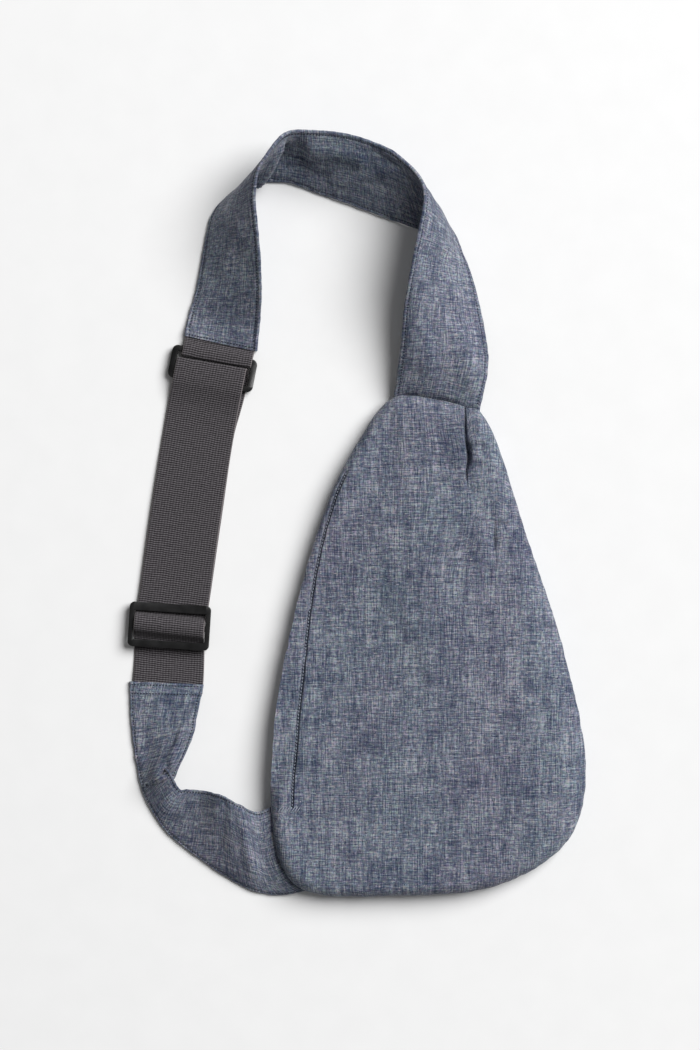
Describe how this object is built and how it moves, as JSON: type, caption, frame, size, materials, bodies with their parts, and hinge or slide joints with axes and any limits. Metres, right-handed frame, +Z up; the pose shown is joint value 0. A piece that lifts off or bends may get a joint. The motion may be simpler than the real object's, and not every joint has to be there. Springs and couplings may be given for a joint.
{
  "type": "crossbody sling bag",
  "caption": "Pear-shaped cloth sling bag lying flat, with a side mouth, a wide folded cloth strap and an adjustable webbing strap with a plastic ring and slider.",
  "frame": {"origin": "on the table that the bag lies on, under the middle of the whole outline of bag and strap", "axes": "+Z up from the table, through the front of the bag; +Y from the bag to the top of its strap loop; +X to the right seen from above"},
  "size_m": [0.3241, 0.5401, 0.0482],
  "materials": {
    "linen": "slubby indigo-grey linen chambray",
    "webbing": "ribbed woven cotton webbing",
    "plastic": "moulded black plastic with a satin face"
  },
  "bodies": {
    "root": {"front_panel": "linen", "back_panel": "linen", "strap_upper": "linen", "strap_lower": "linen", "webbing_anchor": "webbing", "webbing": "webbing", "ring": "plastic", "slider": "plastic"}
  },
  "joints": []
}
